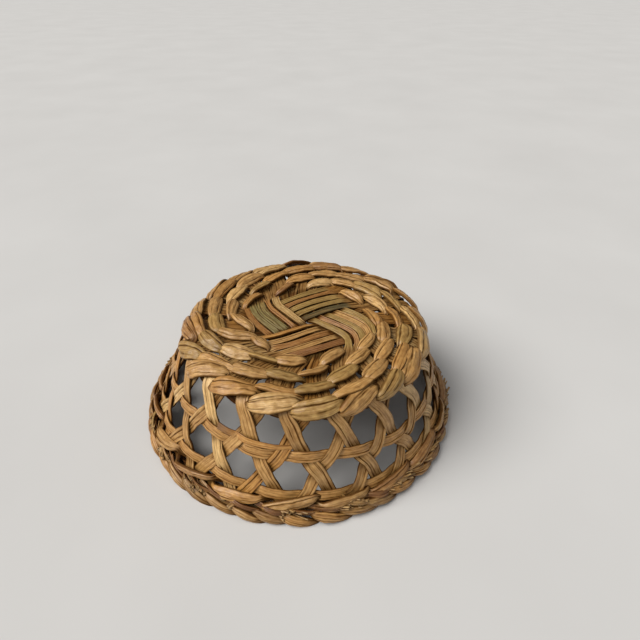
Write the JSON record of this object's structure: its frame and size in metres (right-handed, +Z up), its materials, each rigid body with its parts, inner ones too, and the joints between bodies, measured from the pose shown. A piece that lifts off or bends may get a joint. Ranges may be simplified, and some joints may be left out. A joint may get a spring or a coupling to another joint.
{
  "type": "woven rush hat",
  "caption": "Round tapered piece hand woven from rush leaf: flat closed crown, open hexagonal wall and rolled rim; worn as a hat or set down as a small open basket.",
  "frame": {"origin": "under the centre of the rim, on the plane that the rim rests on", "axes": "+Z up through the crown; the crown leans a few millimetres towards +X"},
  "size_m": [0.2402, 0.2402, 0.0758],
  "materials": {
    "long_leaf": "dried rush leaf, flat, fine ribs along its length, satin",
    "crown_strand": "dried rush leaf gathered into a soft strand, satin",
    "wall_hoop": "dried rush leaf, flat, fine ribs along its length, satin",
    "rim_strand": "dried rush leaf gathered into a soft strand, satin",
    "rolled_rim": "dried rush leaf rolled into a border, satin",
    "folded_ends": "dried rush leaf ends laid along the rim, dull",
    "cut_tip": "cut rush leaf, pale pith, matt"
  },
  "bodies": {
    "root": {"crown_row_1": "crown_strand", "crown_row_2": "crown_strand", "crown_row_3": "crown_strand", "crown_row_4": "crown_strand", "crown_row_5": "crown_strand", "edge_row_strand_a": "crown_strand", "edge_row_strand_b": "crown_strand", "folded_ends_band": "folded_ends", "leaf_back_right_01": "long_leaf", "leaf_back_right_02": "long_leaf", "leaf_back_right_03": "long_leaf", "leaf_back_right_04": "long_leaf", "leaf_back_right_05": "long_leaf", "leaf_back_right_06": "long_leaf", "leaf_back_right_07": "long_leaf", "leaf_back_right_08": "long_leaf", "leaf_back_right_09": "long_leaf", "leaf_back_right_10": "long_leaf", "leaf_front_right_01": "long_leaf", "leaf_front_right_02": "long_leaf", "leaf_front_right_03": "long_leaf", "leaf_front_right_04": "long_leaf", "leaf_front_right_05": "long_leaf", "leaf_front_right_06": "long_leaf", "leaf_front_right_07": "long_leaf", "leaf_front_right_08": "long_leaf", "leaf_front_right_09": "long_leaf", "leaf_front_right_10": "long_leaf", "lower_wall_hoop": "wall_hoop", "rim_row_strand_a": "rim_strand", "rim_row_strand_b": "rim_strand", "rolled_rim_ends": "rolled_rim", "trimmed_tips": "cut_tip", "upper_wall_hoop": "wall_hoop"}
  },
  "joints": []
}
